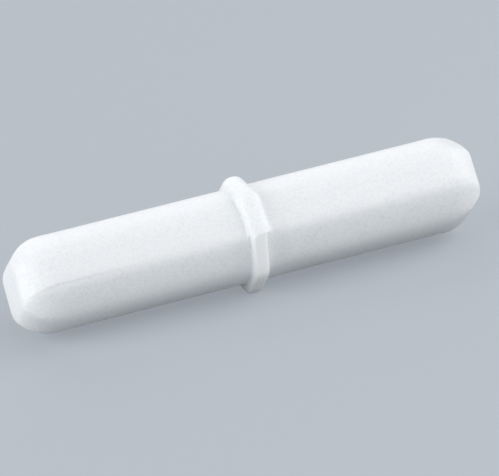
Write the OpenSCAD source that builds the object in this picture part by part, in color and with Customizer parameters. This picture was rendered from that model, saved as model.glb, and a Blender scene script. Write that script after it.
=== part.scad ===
// Magnetic stir bar: an octagonal moulded jacket with a pivot ring, sealed round a bar magnet.
// Lengths are in millimetres. The bar lies along X and stands on a flat of its ring, with Z up.

/* [Bar] */
// Length between the two tip faces
bar_l = 63.5; // [40:0.5:90]
// Width of the bar across two opposite flats
bar_flats = 11.9; // [11.5:0.1:13]
// Radius of the eight long edges
edge_r = 3.6; // [2.4:0.1:4.6]

/* [Ends] */
// Length of each domed end, along the bar
dome_l = 4.9; // [4.6:0.1:7]
// Side of the small square face at each tip
tip_w = 5.7; // [4.5:0.1:6.4]
// Width of the narrow flats where they run out at the tip's corners
runout_w = 0.2; // [0.1:0.05:0.8]

/* [Pivot ring] */
// Height of the ring above the flats of the bar
ring_h = 1.1; // [1.1:0.05:2]
// Width of the ring along the bar, from flank to flank
ring_w = 2.4; // [1.8:0.1:4]
// Radius of the ring's two shoulders
shoulder_r = 0.7; // [0.3:0.05:0.7]
// How much is taken off each of the ring's eight corners
corner_cut = 0.05; // [0.02:0.01:0.3]
// Radius of the hollow where the ring runs into the bar
root_r = 0.35; // [0.2:0.05:0.35]

/* [Magnet] */
// Thickness of the jacket between the magnet and each flat
wall = 1.45; // [0.9:0.05:3]
// Thickness of the jacket between the magnet and each tip face
end_wall = 4.75; // [4.5:0.25:15]
// Chamfer round each end of the magnet
chamfer = 0.5; // [0.2:0.1:1]

/* [Colours] */
// Colour of the jacket
jacket_colour = "white";
// Colour of the magnet
magnet_colour = "dimgray";

/* [Hidden] */
$fn = 96;
sides = 8;                                // flats round the bar
turn = 360 / sides;                       // angle from one flat to the next
flat_r = bar_flats / 2;                   // axis to a flat of the bar
edge_out = (flat_r - edge_r) / cos(turn / 2) + edge_r;   // axis to the top of a long edge
bed = 0.05;                               // how deep the feet of the ring's hollow are let into the bar
ring_r = flat_r + ring_h;                 // axis to a flat of the ring
ring_corner = ring_r / cos(turn / 2) - corner_cut;       // axis to a cut corner of the ring
tip_half = tip_w / 2;                     // axis to a side of the tip face
tip_corner = tip_half * sqrt(2) - runout_w / 2;   // axis to a cut corner of the tip face
over = 1;                                 // how far a cutting shape reaches past the bar

// Cross-section of the bar: an octagon with rounded corners
module bar_section() {
    half_run = (flat_r - edge_r) * tan(turn / 2);
    for (k = [0 : sides - 1]) rotate(k * turn) {
        translate([0, -half_run]) square([flat_r, 2 * half_run]);
        translate([flat_r - edge_r, half_run]) circle(r = edge_r);
    }
}

// Repeats a quarter of a side outline on both sides of both axes
module four_quarters() {
    for (across = [0, 1], along = [0, 1]) mirror([0, across]) mirror([along, 0]) children();
}

// Side outline over one pair of flats. Each end falls along an arc that leaves the flat smoothly
// and meets the tip face at tip_r from the axis.
module bar_outline(tip_r) {
    drop = flat_r - tip_r;
    arc_r = (pow(dome_l, 2) + pow(drop, 2)) / (2 * drop);
    straight = bar_l / 2 - dome_l;
    four_quarters() {
        square([straight, flat_r]);
        intersection() {
            translate([straight, 0]) square([dome_l, flat_r]);
            translate([straight, flat_r - arc_r]) circle(r = arc_r);
        }
    }
}

// Side outline of the ring from foot to top, both measured from the axis. It has round shoulders,
// and a hollow down to the foot on each flank.
module ring_outline(foot, top) {
    half_w = ring_w / 2;
    difference() {
        four_quarters() {
            square([half_w, top - shoulder_r]);
            square([half_w - shoulder_r, top]);
            square([half_w + root_r, foot + root_r]);
            translate([half_w - shoulder_r, top - shoulder_r]) circle(r = shoulder_r);
        }
        four_quarters() translate([half_w + root_r, foot + root_r]) circle(r = root_r);
    }
}

// Runs a side outline right across the bar, facing the pair of sides at the given angle
module slab(angle) {
    rotate([angle - 90, 0, 0]) linear_extrude(2 * (ring_r + over), center = true) children();
}

// The bar without its ring. Two pairs of flats fall to the sides of the tip face, and the pairs
// between them fall to its corners, so they narrow nearly to a point.
module bar() {
    intersection() {
        rotate([90, 0, 90]) linear_extrude(bar_l + over, center = true) bar_section();
        slab(turn) bar_outline(tip_half);
        slab(3 * turn) bar_outline(tip_half);
        slab(0) bar_outline(tip_corner);
        slab(2 * turn) bar_outline(tip_corner);
    }
}

// One outline faces the flats and a taller one faces the long edges between them, so the hollow
// follows the bar's rounding and the ring's corners are cut. The feet are let in a little, because
// the bar falls away between the middle of a flat and the top of an edge.
module ring() {
    intersection_for(k = [0 : sides / 2 - 1]) intersection() {
        slab(k * turn) ring_outline(flat_r - bed, ring_r);
        slab((k + 0.5) * turn) ring_outline(edge_out - bed, ring_corner);
    }
}

// Rod with a chamfer round each end
module magnet() {
    end = bar_l / 2 - end_wall;
    rim = flat_r - wall;
    color(magnet_colour) rotate([0, 90, 0]) rotate_extrude() polygon([
        [0, -end],
        [rim - chamfer, -end],
        [rim, chamfer - end],
        [rim, end - chamfer],
        [rim - chamfer, end],
        [0, end]
    ]);
}

// Moulded jacket: bar and ring in one piece, closed round the magnet
module casing() {
    color(jacket_colour) difference() {
        union() {
            bar();
            ring();
        }
        magnet();
    }
}

casing();
magnet();
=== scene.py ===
# A magnetic stir bar standing on its pivot ring: a white fluoropolymer jacket moulded round a cast magnet.
import math

import bpy
from mathutils import Matrix, Vector


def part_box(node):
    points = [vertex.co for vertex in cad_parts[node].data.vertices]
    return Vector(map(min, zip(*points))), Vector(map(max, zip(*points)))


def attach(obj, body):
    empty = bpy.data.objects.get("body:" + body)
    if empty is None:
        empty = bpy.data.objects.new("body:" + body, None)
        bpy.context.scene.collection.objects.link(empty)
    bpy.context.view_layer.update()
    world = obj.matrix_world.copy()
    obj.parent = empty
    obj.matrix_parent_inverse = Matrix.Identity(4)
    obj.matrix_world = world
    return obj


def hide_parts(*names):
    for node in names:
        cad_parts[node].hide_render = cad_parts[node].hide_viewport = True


mm = 0.001
tiny = 0.00001      # two points closer than this are the same point

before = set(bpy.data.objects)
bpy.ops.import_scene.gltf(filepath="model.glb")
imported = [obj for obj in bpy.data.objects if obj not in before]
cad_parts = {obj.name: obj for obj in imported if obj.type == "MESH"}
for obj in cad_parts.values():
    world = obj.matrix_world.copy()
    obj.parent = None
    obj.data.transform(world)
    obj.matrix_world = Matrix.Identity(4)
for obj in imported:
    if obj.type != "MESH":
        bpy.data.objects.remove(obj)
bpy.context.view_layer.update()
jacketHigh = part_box("casing")[1]
print("frame loaded, bar", round(2 * jacketHigh.x, 4), "m long")


def deselectAll():
    if bpy.context.object and bpy.context.object.mode != "OBJECT":
        bpy.ops.object.mode_set(mode="OBJECT")
    bpy.ops.object.select_all(action="DESELECT")


# selects the vertices, edges or faces that pass a test, and leaves the piece in edit mode
def pick(piece, kind, test):
    bpy.ops.object.mode_set(mode="EDIT")
    bpy.ops.mesh.select_mode(type={"vertices": "VERT", "edges": "EDGE", "polygons": "FACE"}[kind])
    bpy.ops.mesh.select_all(action="DESELECT")
    bpy.ops.object.mode_set(mode="OBJECT")
    for part in getattr(piece.data, kind):
        part.select = test(part)
    bpy.ops.object.mode_set(mode="EDIT")


# the two ends of an edge
def ends(piece, edge):
    return [piece.data.vertices[i].co for i in edge.vertices]


# adds a modifier with its settings and applies it
def modify(piece, kind, **settings):
    bpy.ops.object.mode_set(mode="OBJECT")
    bpy.context.view_layer.objects.active = piece
    modifier = piece.modifiers.new(kind.lower(), kind)
    for name, value in settings.items():
        setattr(modifier, name, value)
    bpy.ops.object.modifier_apply(modifier=modifier.name)


def toLinear(hexColour):
    channels = [int(hexColour[i:i + 2], 16) / 255 for i in (1, 3, 5)]
    return [c / 12.92 if c <= 0.04045 else ((c + 0.055) / 1.055) ** 2.4 for c in channels] + [1]


# one node, with its own settings, the values of its sockets and the links into them
def addNode(tree, kind, settings={}, values={}, links={}):
    node = tree.nodes.new("ShaderNode" + kind)
    for name, value in settings.items():
        setattr(node, name, value)
    for name, value in values.items():
        node.inputs[name].default_value = value
    for name, source in links.items():
        tree.links.new(source, node.inputs[name])
    return node


def newMaterial(name):
    material = bpy.data.materials.new(name)
    material.use_nodes = True
    tree = material.node_tree
    tree.nodes.clear()
    return material, tree


# Fluoropolymer moulded from packed powder and sintered: milky white, waxy and matt. Light sinks in
# a little before it comes back, so edges look soft, and the powder's grain shows as a faint mottle.
jacketFinish = {
    "milk": "#F0F3F5",
    "shade": "#E7EAED",         # the specks of the grain
    "specks": [0.13, 0.28],     # height of the noise at which they are full, and where they end
    "grain": 0.16 * mm,         # packed powder, drawn coarser than it is so that it shows
    "mottle": 0.34 * mm,        # patches that sintered a little denser
    "grainDepth": 0.024 * mm,
    "roughness": [0.37, 0.47],
    "lightDepth": 2.2 * mm,     # how far light spreads inside before it comes back
    "lightShare": 0.8,          # share of the light that goes in
    # painted light: the lower half of the ring is painted a lighter, cooler white than the bar, for the light
    # that shines through the thin ring
    "paintedRingLight": "#F5FAFE",
    "paintedRingLightFrom": [6.3 * mm, 6.6 * mm],     # from the axis
    "paintedRingLightTurn": 22.5,         # degrees round the bar, down from here
    # painted shade: a thin dark line along the fine step at the parting line, for the step's shadow, stronger
    # towards one tip
    "paintedSeamShadow": "#9A9895",
    "seamShade": 0.18,
    "seamWidth": 0.06,          # as a share of the way to the next row of the jacket's cage
    "seamFrom": [-11 * mm, -28 * mm],
}


def sinteredFluoropolymer():
    f = jacketFinish
    material, tree = newMaterial("sinteredFluoropolymer")
    place = addNode(tree, "TexCoord").outputs["Object"]
    grain = addNode(tree, "TexNoise", values={"Scale": 1 / f["grain"], "Detail": 3}, links={"Vector": place})
    mottle = addNode(tree, "TexNoise", values={"Scale": 1 / f["mottle"], "Detail": 4},
                     links={"Vector": place})
    both = addNode(tree, "Math", {"operation": "MULTIPLY"},
                   links={0: grain.outputs["Fac"], 1: mottle.outputs["Fac"]})
    powder = addNode(tree, "ValToRGB", links={"Fac": both.outputs[0]})
    powder.color_ramp.elements[0].position = f["specks"][0]
    powder.color_ramp.elements[0].color = toLinear(f["shade"])
    powder.color_ramp.elements[1].position = f["specks"][1]
    powder.color_ramp.elements[1].color = toLinear(f["milk"])
    # painted light on the ring: where it is proud of the bar and below the parting line, it is painted
    # lighter
    across = addNode(tree, "VectorMath", {"operation": "MULTIPLY"}, {1: (0, 1, 1)}, {0: place})
    across = addNode(tree, "VectorMath", {"operation": "LENGTH"}, links={0: across.outputs["Vector"]})
    proud = addNode(tree, "MapRange", {"interpolation_type": "SMOOTHSTEP"},
                    {"From Min": f["paintedRingLightFrom"][0], "From Max": f["paintedRingLightFrom"][1]},
                    {"Value": across.outputs["Value"]})
    turn = math.radians(f["paintedRingLightTurn"])
    below = addNode(tree, "VectorMath", {"operation": "DOT_PRODUCT"},
                    {1: (0, -math.sin(turn), -math.cos(turn))}, {0: place})
    below = addNode(tree, "MapRange", values={"From Min": 0, "From Max": f["grain"]},
                    links={"Value": below.outputs["Value"]})
    proud = addNode(tree, "Math", {"operation": "MULTIPLY"},
                    links={0: proud.outputs["Result"], 1: below.outputs["Result"]})
    paintedRingLight = addNode(tree, "Mix", {"data_type": "RGBA"}, {"B": toLinear(f["paintedRingLight"])},
                     {"Factor": proud.outputs[0], "A": powder.outputs["Color"]})
    # the painted shade line along the parting step
    seam = addNode(tree, "Attribute", {"attribute_name": "seam"})
    line = addNode(tree, "MapRange", values={"From Min": 1 - f["seamWidth"], "From Max": 1},
                   links={"Value": seam.outputs["Fac"]})
    along = addNode(tree, "SeparateXYZ", links={"Vector": place})
    near = addNode(tree, "MapRange", {"interpolation_type": "SMOOTHSTEP"},
                   {"From Min": f["seamFrom"][0], "From Max": f["seamFrom"][1], "To Max": f["seamShade"]},
                   {"Value": along.outputs["X"]})
    line = addNode(tree, "Math", {"operation": "MULTIPLY"},
                   links={0: line.outputs["Result"], 1: near.outputs["Result"]})
    skinColour = addNode(tree, "Mix", {"data_type": "RGBA"}, {"B": toLinear(f["paintedSeamShadow"])},
                         {"Factor": line.outputs[0], "A": paintedRingLight.outputs["Result"]})
    rough = addNode(tree, "MapRange", {}, {"From Min": 0.3, "From Max": 0.7,
                                           "To Min": f["roughness"][0], "To Max": f["roughness"][1]},
                    {"Value": mottle.outputs["Fac"]})
    bump = addNode(tree, "Bump", values={"Strength": 0.5, "Distance": f["grainDepth"]},
                   links={"Height": grain.outputs["Fac"]})
    skin = addNode(tree, "BsdfPrincipled", {},
                   {"IOR": 1.35, "Subsurface Weight": f["lightShare"], "Subsurface Radius": (1, 1, 1.1),
                    "Subsurface Scale": f["lightDepth"]},
                   {"Base Color": skinColour.outputs["Result"], "Roughness": rough.outputs["Result"],
                    "Normal": bump.outputs["Normal"]})
    addNode(tree, "OutputMaterial", links={"Surface": skin.outputs["BSDF"]})
    return material


# Aluminium-nickel-cobalt cast in sand and ground to size: a dull warm grey metal with fine pits and
# grinding lines that run round the rod.
magnetFinish = {
    "bright": "#8A8681",
    "dark": "#5B5854",          # the pits
    "pitted": [0.35, 0.6],      # height of the noise at which they are full, and where they end
    "roughness": [0.38, 0.6],
    "pits": 0.5 * mm,
    "lines": 0.12 * mm,         # from one grinding line to the next, nearly
    "waveLines": 0.3,           # and how far apart the lines of a wave texture are at scale 1, nearly
    "lineDepth": 0.006 * mm,
}


def castMagnetAlloy():
    f = magnetFinish
    material, tree = newMaterial("castMagnetAlloy")
    place = addNode(tree, "TexCoord").outputs["Object"]
    pits = addNode(tree, "TexNoise", values={"Scale": 1 / f["pits"], "Detail": 6, "Roughness": 0.65},
                   links={"Vector": place})
    lines = addNode(tree, "TexWave", {"wave_type": "BANDS", "bands_direction": "X"},
                    {"Scale": f["waveLines"] / f["lines"], "Distortion": 2, "Detail": 2, "Detail Scale": 1.5},
                    {"Vector": place})
    colour = addNode(tree, "ValToRGB", links={"Fac": pits.outputs["Fac"]})
    colour.color_ramp.elements[0].position = f["pitted"][0]
    colour.color_ramp.elements[0].color = toLinear(f["dark"])
    colour.color_ramp.elements[1].position = f["pitted"][1]
    colour.color_ramp.elements[1].color = toLinear(f["bright"])
    rough = addNode(tree, "MapRange", values={"To Min": f["roughness"][0], "To Max": f["roughness"][1]},
                    links={"Value": pits.outputs["Fac"]})
    bump = addNode(tree, "Bump", values={"Strength": 0.6, "Distance": f["lineDepth"]},
                   links={"Height": lines.outputs["Fac"]})
    metal = addNode(tree, "BsdfPrincipled", values={"Metallic": 1},
                    links={"Base Color": colour.outputs["Color"], "Roughness": rough.outputs["Result"],
                           "Normal": bump.outputs["Normal"]})
    addNode(tree, "OutputMaterial", links={"Surface": metal.outputs["BSDF"]})
    return material


jacket = {
    "flatR": 6.02 * mm,         # axis to a flat of the bar
    "alongSteps": [9 * mm, 17 * mm, 24.4 * mm],
    # a dome's four main flats fall to a square tip face, and the narrow ones run out at its corners
    "domeLength": 5.1 * mm,
    "tipHalf": 3.05 * mm,       # axis to a side of the tip face
    "tipPoint": 0.6 * mm,       # half the width left at the tip of the narrow flats at the top and bottom
    "sidePoint": 0.2 * mm,      # and of those at the front and back
    "tipInset": 1.5 * mm,
    "tipTwist": -3,             # degrees that the tip face sits turned, downwards at the front
    "ringHalf": 1.25 * mm,
    "shoulder": 0.9 * mm,
    "rootReach": 0.95 * mm,     # how far along the bar the hollow beside the ring is felt
    # half the ring's width at its crest, shoulder, flank and root: a round bead from the upper mould,
    # and a narrower land from the lower one
    "bead": [0.5 * mm, 1.1 * mm, 1.45 * mm, 1.6 * mm],
    "land": [0.8 * mm, 0.96 * mm, 1.03 * mm, 1.05 * mm],
    "partTurn": 22.5,           # degrees round the bar from its front to the parting line
    "partStep": 2,              # degrees in which bead turns to land
    "flash": 0.08 * mm,         # height of the nib squeezed out where the mould closed
    "flashIn": 1.1,             # how far across the ring it sits, as a share of the shoulder's place
    # how far each half of the mould sat off the middle: for the bar, and for the ring's upper and lower half
    "slip": 0.2 * mm,
    "ringSlip": [0.02 * mm, -0.2 * mm],
    "ringLean": 0.33 * mm,      # how far along the ring's back sits from its top, its front the other way
    # creases, from 0 for soft to 1 for sharp
    "longEdge": 0.26,
    "partEdge": 0.36,           # of the two long edges at the parting line
    "domeEdges": [0.3, 0.34, 0.38, 0.42, 0.44, 0.46, 0.46],     # crisper towards the tip
    "ringEdge": 0.45,
    "smoothing": 4,
}
tipX = jacketHigh.x - jacket["slip"]


# scales the end face at x so that its main flats are at the distance main from the axis, and the narrow ones
# at the two distances in narrows: top and bottom, then front and back
def shapeEnd(piece, x, main, narrows):
    for flat, across, narrow in ((2, 1, narrows[0]), (1, 2, narrows[1])):
        halfWidth = main * math.sqrt(2) - narrow
        pick(piece, "vertices", lambda v: abs(v.co.x - x) < tiny and abs(v.co[flat]) > abs(v.co[across]))
        bpy.ops.object.mode_set(mode="OBJECT")
        co = next(v.co for v in piece.data.vertices if v.select)
        scale = [1, 1, 1]
        scale[flat] = narrow / abs(co[flat])
        scale[across] = halfWidth / abs(co[across])
        bpy.ops.object.mode_set(mode="EDIT")
        bpy.ops.transform.resize(value=scale, center_override=(x, 0, 0))


# pulls the end face at x out to a new place
def pullEnd(piece, x, newX):
    side = math.copysign(1, newX)
    pick(piece, "polygons", lambda p: p.normal.x * side > 0.9 and abs(p.center.x - x) < tiny)
    bpy.ops.mesh.extrude_region_move(TRANSFORM_OT_translate={"value": (newX - x, 0, 0)})


# radius of the arc that leaves a flat smoothly and has dropped this far at this length
def bulgeRadius(length, drop):
    return (length ** 2 + drop ** 2) / (2 * drop)


# degrees round the bar, upwards from its front
def turnOf(point):
    return math.degrees(math.atan2(point.z, -point.y)) % 360


# the distance from the axis to the flat that a point lies on or beside
def flatOf(point):
    return max(abs(point.y), abs(point.z), (abs(point.y) + abs(point.z)) / math.sqrt(2))


def inLowerMould(point):
    return 1 < (turnOf(point) - 180 - jacket["partTurn"]) % 360 < 179


def makeJacket():
    j = jacket
    ringR = jacketHigh.z
    corner = math.pi / 8
    # the middle of the bar, as wide as its ring
    bpy.ops.mesh.primitive_cylinder_add(
        vertices=8, radius=j["flatR"] / math.cos(corner), depth=2 * j["ringHalf"],
        rotation=(Matrix.Rotation(math.pi / 2, 3, "Y") @ Matrix.Rotation(corner, 3, "Z")).to_euler())
    piece = bpy.context.object
    piece.name = "jacket"
    bpy.ops.object.transform_apply(location=True, rotation=True, scale=True)
    # each end: straight flats, then a dome that turns them into a square
    straight = tipX - j["domeLength"]
    tipCorners = [j["tipHalf"] * math.sqrt(2) - j[point] for point in ("tipPoint", "sidePoint")]
    mainR = bulgeRadius(j["domeLength"], j["flatR"] - j["tipHalf"])
    narrowRs = [bulgeRadius(j["domeLength"], j["flatR"] - tipCorner) for tipCorner in tipCorners]
    lastAngle = math.asin(j["domeLength"] / mainR)
    twists = []
    for side in (-1, 1):
        x = side * j["ringHalf"]
        for along in [j["ringHalf"] + j["rootReach"]] + j["alongSteps"] + [straight]:
            pullEnd(piece, x, side * along)
            x = side * along
        steps = len(j["domeEdges"])
        for step in range(1, steps + 1):
            angle = lastAngle * step / steps
            reach = mainR * math.sin(angle)
            main = j["flatR"] - mainR * (1 - math.cos(angle))
            narrows = [j["flatR"] - r + math.sqrt(r ** 2 - reach ** 2) for r in narrowRs]
            pullEnd(piece, x, side * (straight + reach))
            x = side * (straight + reach)
            shapeEnd(piece, x, main, narrows)
            twists.append((x, j["tipTwist"] * (step / steps) ** 2))
        pick(piece, "polygons", lambda p: p.normal.x * side > 0.9 and abs(p.center.x - x) < tiny)
        bpy.ops.mesh.inset(thickness=j["tipInset"])
    for x, angle in twists:
        pick(piece, "vertices", lambda v: abs(v.co.x - x) < tiny)
        bpy.ops.transform.rotate(value=math.radians(angle), orient_axis="X", center_override=(0, 0, 0))
    # the ring stands out all round, and its shoulders are bevelled
    pick(piece, "polygons", lambda p: abs(p.center.x) < tiny)
    grow = ringR / j["flatR"]
    bpy.ops.mesh.extrude_region_move()
    bpy.ops.transform.resize(value=(1, grow, grow), center_override=(0, 0, 0))
    bpy.ops.object.mode_set(mode="OBJECT")

    def onShoulder(edge):
        a, b = ends(piece, edge)
        return abs(a.x - b.x) < tiny and min(flatOf(a), flatOf(b)) > ringR - tiny
    pick(piece, "edges", onShoulder)
    bpy.ops.mesh.bevel(offset=j["shoulder"], segments=2, profile=0.5, affect="EDGES")
    bpy.ops.mesh.select_all(action="SELECT")
    bpy.ops.mesh.bisect(plane_co=(0, 0, 0), plane_no=(1, 0, 0))
    bpy.ops.object.mode_set(mode="OBJECT")
    return piece


# the parting line of the mould runs along two opposite edges of the bar. The ring changes its profile there,
# and a cut just below each edge gives the change room
def partRing(piece):
    j = jacket
    onRing = j["ringHalf"] + tiny
    for facet, cut in ((0, j["partTurn"] - j["partStep"]), (180, 180 + j["partTurn"] + j["partStep"])):
        pick(piece, "polygons", lambda p: abs(p.center.x) < onRing and flatOf(p.center) > j["flatR"] + tiny
             and abs((turnOf(p.center) - facet + 180) % 360 - 180) < 5)
        turn = math.radians(cut)
        bpy.ops.mesh.bisect(plane_co=(0, 0, 0), plane_no=(0, math.sin(turn), math.cos(turn)))
    bpy.ops.object.mode_set(mode="OBJECT")
    loops = sorted({round(abs(v.co.x) / mm, 3) * mm for v in piece.data.vertices
                    if tiny < abs(v.co.x) < onRing})
    for lower, widths in ((False, j["bead"]), (True, j["land"])):
        # the outermost loop has two heights, flank and root
        for width, old, high in zip(widths, loops + loops[-1:], (True, True, True, False)):
            pick(piece, "vertices", lambda v: abs(abs(v.co.x) - old) < tiny and inLowerMould(v.co) == lower
                 and (flatOf(v.co) > j["flatR"] + tiny) == high)
            bpy.ops.transform.resize(value=(width / old, 1, 1), center_override=(0, 0, 0))
    # the nib, at the right of the ring's front
    pick(piece, "vertices", lambda v: abs(v.co.x - j["bead"][1]) < tiny
         and abs(turnOf(v.co) - j["partTurn"]) < 1)
    grow = 1 + j["flash"] / jacketHigh.z
    bpy.ops.transform.resize(value=(j["flashIn"], grow, grow), center_override=(0, 0, 0))


# creases let the smoothing keep some of an edge
def creaseEdges(piece):
    j = jacket
    straight = tipX - j["domeLength"]
    onRing = j["bead"][-1] + tiny

    def lengthwise(edge):
        a, b = ends(piece, edge)
        alike = abs(math.atan2(a.z, a.y) - math.atan2(b.z, b.y)) < 0.01
        return abs(a.x - b.x) > tiny or (alike and abs(a.x) < tipX - tiny)

    def creaseWhere(amount, test):
        pick(piece, "edges", test)
        bpy.ops.transform.edge_crease(value=amount)

    def middle(edge):
        a, b = ends(piece, edge)
        return abs(a.x + b.x) / 2

    creaseWhere(j["ringEdge"], lambda e: lengthwise(e) and middle(e) < onRing)

    def atParting(edge):
        return all(abs((turnOf(p) - j["partTurn"] + 90) % 180 - 90) < 1 for p in ends(piece, edge))
    for crease, parting in ((j["longEdge"], False), (j["partEdge"], True)):
        creaseWhere(crease, lambda e: lengthwise(e) and onRing < middle(e) < straight
                    and atParting(e) == parting)
    steps = len(j["domeEdges"])
    for step, amount in enumerate(j["domeEdges"]):
        start = straight + j["domeLength"] * step / steps
        creaseWhere(amount, lambda e: lengthwise(e) and start < middle(e) <= start + j["domeLength"] / steps)
    bpy.ops.object.mode_set(mode="OBJECT")


# the halves of the mould weren't quite in line, so one side of the bar sits a little along from the other
def slipMould(piece):
    j = jacket
    onRing = j["bead"][-1] + tiny

    def offParting(p):
        return abs(p.x) > onRing + j["rootReach"] and (p.y * p.z > 0 or abs(p.z) > abs(p.y))
    ring = [v.co.copy() for v in piece.data.vertices if abs(v.co.x) < onRing]
    # the ring in rows of one depth, each moved by its own part of the lean
    for lower, depth in sorted({(inLowerMould(p), round(p.y / mm, 2)) for p in ring}):
        along = j["ringSlip"][lower] + j["ringLean"] * depth * mm / jacketHigh.z
        pick(piece, "vertices", lambda v: any((v.co - p).length < tiny for p in ring
                                              if (inLowerMould(p), round(p.y / mm, 2)) == (lower, depth)))
        bpy.ops.transform.translate(value=(along, 0, 0))
    for sign in (-1, 1):
        pick(piece, "vertices", lambda v: offParting(v.co) and v.co.z * sign > 0)
        bpy.ops.transform.translate(value=(sign * j["slip"], 0, 0))
    bpy.ops.object.mode_set(mode="OBJECT")


# the attribute that the painted shade line is drawn from, 1 along the front edge at the parting line
def markSeam(piece):
    j = jacket
    seam = piece.data.attributes.new("seam", "FLOAT", "POINT")
    for v in piece.data.vertices:
        front = -v.co.y > abs(v.co.z) and flatOf(v.co) > j["tipHalf"] - tiny
        seam.data[v.index].value = front and v.co.z > 0 and abs(v.co.x) > j["alongSteps"][0] + j["slip"]


def finishJacket(piece):
    j = jacket
    modify(piece, "SUBSURF", levels=j["smoothing"], render_levels=j["smoothing"])
    bpy.ops.object.shade_smooth()
    piece.data.materials.clear()
    piece.data.materials.append(sinteredFluoropolymer())
    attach(piece, "root")
    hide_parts("casing")
    print("jacket", len(piece.data.polygons), "faces")


deselectAll()
jacketPiece = makeJacket()
partRing(jacketPiece)
creaseEdges(jacketPiece)
slipMould(jacketPiece)
markSeam(jacketPiece)
finishJacket(jacketPiece)


# it stays as the frame gives it, sealed in the jacket, and only takes its metal
def dressMagnet():
    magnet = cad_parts["magnet"]
    magnet.data.materials.clear()
    magnet.data.materials.append(castMagnetAlloy())
    deselectAll()
    magnet.select_set(True)
    bpy.context.view_layer.objects.active = magnet
    bpy.ops.object.shade_smooth_by_angle(angle=math.radians(30))
    deselectAll()
    print("magnet dressed")


dressMagnet()


studio = {
    "floorColour": "#BAC1C9",   # as the camera sees it
    "floorBounce": "#92979B",   # as the object sees it
    "floorGlow": 0.5,           # share of the seen floor that is evenly lit, which keeps its shadow pale
    "floorSize": 4.0,
    "worldColour": "#FDFEFF",
    "worldStrength": 0.12,
    "softboxSize": 0.5,
    # place and power: left, right, front and back
    "softboxes": [((-0.57, 0, 0.2), 3.45), ((0.5, -0.1, 0.35), 2.6), ((0.1, -0.5, 0.25), 1.4),
                  ((0.05, 0.5, 0.3), 1.2)],
}


def makeFloor():
    bpy.ops.mesh.primitive_plane_add(size=studio["floorSize"], location=(0, 0, -jacketHigh.z))
    floor = bpy.context.object
    floor.name = "floor"
    bpy.ops.object.transform_apply(location=True)
    material, tree = newMaterial("paintedBoard")
    seen = addNode(tree, "BsdfDiffuse", values={"Color": toLinear(studio["floorColour"])})
    glow = addNode(tree, "Emission", values={"Color": toLinear(studio["floorColour"])})
    pale = addNode(tree, "MixShader", values={"Fac": studio["floorGlow"]},
                   links={1: seen.outputs["BSDF"], 2: glow.outputs["Emission"]})
    bounce = addNode(tree, "BsdfDiffuse", values={"Color": toLinear(studio["floorBounce"])})
    board = addNode(tree, "MixShader", links={"Fac": seenDirectly(tree), 1: bounce.outputs["BSDF"],
                                              2: pale.outputs["Shader"]})
    addNode(tree, "OutputMaterial", links={"Surface": board.outputs["Shader"]})
    floor.data.materials.append(material)


# one for the camera, reflections and clear things, nothing for the light that falls on the object
def seenDirectly(tree):
    rays = addNode(tree, "LightPath").outputs
    either = addNode(tree, "Math", {"operation": "MAXIMUM"},
                     links={0: rays["Is Camera Ray"], 1: rays["Is Glossy Ray"]})
    return addNode(tree, "Math", {"operation": "MAXIMUM"},
                   links={0: either.outputs[0], 1: rays["Is Transmission Ray"]}).outputs[0]


def makeLights():
    world = bpy.data.worlds.new("studio")
    world.use_nodes = True
    bpy.context.scene.world = world
    tree = world.node_tree
    tree.nodes.clear()
    soft = addNode(tree, "Background", values={"Color": toLinear(studio["worldColour"]),
                                               "Strength": studio["worldStrength"]})
    seen = addNode(tree, "Background", values={"Color": toLinear(studio["floorColour"])})
    either = addNode(tree, "MixShader", links={"Fac": seenDirectly(tree), 1: soft.outputs["Background"],
                                               2: seen.outputs["Background"]})
    addNode(tree, "OutputWorld", links={"Surface": either.outputs["Shader"]})
    for place, power in studio["softboxes"]:
        bpy.ops.object.light_add(type="AREA", location=place)
        softbox = bpy.context.object
        softbox.name = "softbox"
        softbox.data.size = studio["softboxSize"]
        softbox.data.energy = power
        softbox.rotation_euler = (-softbox.location).to_track_quat("-Z", "Y").to_euler()


camera = {
    "lens": 400,                              # mm, long enough that the bar's edges run nearly parallel
    "towards": (-0.3331, -0.8475, 0.4133),    # from the bar to the camera
    "barRise": 14.28,                         # degrees that the bar climbs to the right in the frame
    "pixelsPerMm": 7.905,
    "middlePixel": (243.7, 234.4),
    "frame": (499, 476),
}


def makeCamera():
    c = camera
    wide, high = c["frame"]
    sensor = 36
    distance = c["lens"] * wide / (sensor * c["pixelsPerMm"]) * mm
    back = Vector(c["towards"]).normalized()
    right = Vector((0, 0, 1)).cross(back).normalized()
    up = back.cross(right)
    rise = math.atan2(up.x, right.x)          # how far the bar climbs with the camera upright
    roll = math.radians(c["barRise"]) - rise
    turned = (right * math.cos(roll) - up * math.sin(roll), right * math.sin(roll) + up * math.cos(roll))
    offset = [(wide / 2 - c["middlePixel"][0]) / c["pixelsPerMm"] * mm,
              (c["middlePixel"][1] - high / 2) / c["pixelsPerMm"] * mm]
    bpy.ops.object.camera_add(location=back * distance + turned[0] * offset[0] + turned[1] * offset[1])
    eye = bpy.context.object
    eye.name = "camera"
    eye.rotation_euler = Matrix((turned[0], turned[1], back)).transposed().to_euler()
    eye.data.lens = c["lens"]
    eye.data.sensor_width = sensor
    eye.data.clip_start = 0.01
    eye.data.clip_end = 20
    bpy.context.scene.camera = eye


makeFloor()
makeLights()
makeCamera()
bpy.context.scene.view_settings.view_transform = "Standard"
print("studio ready")
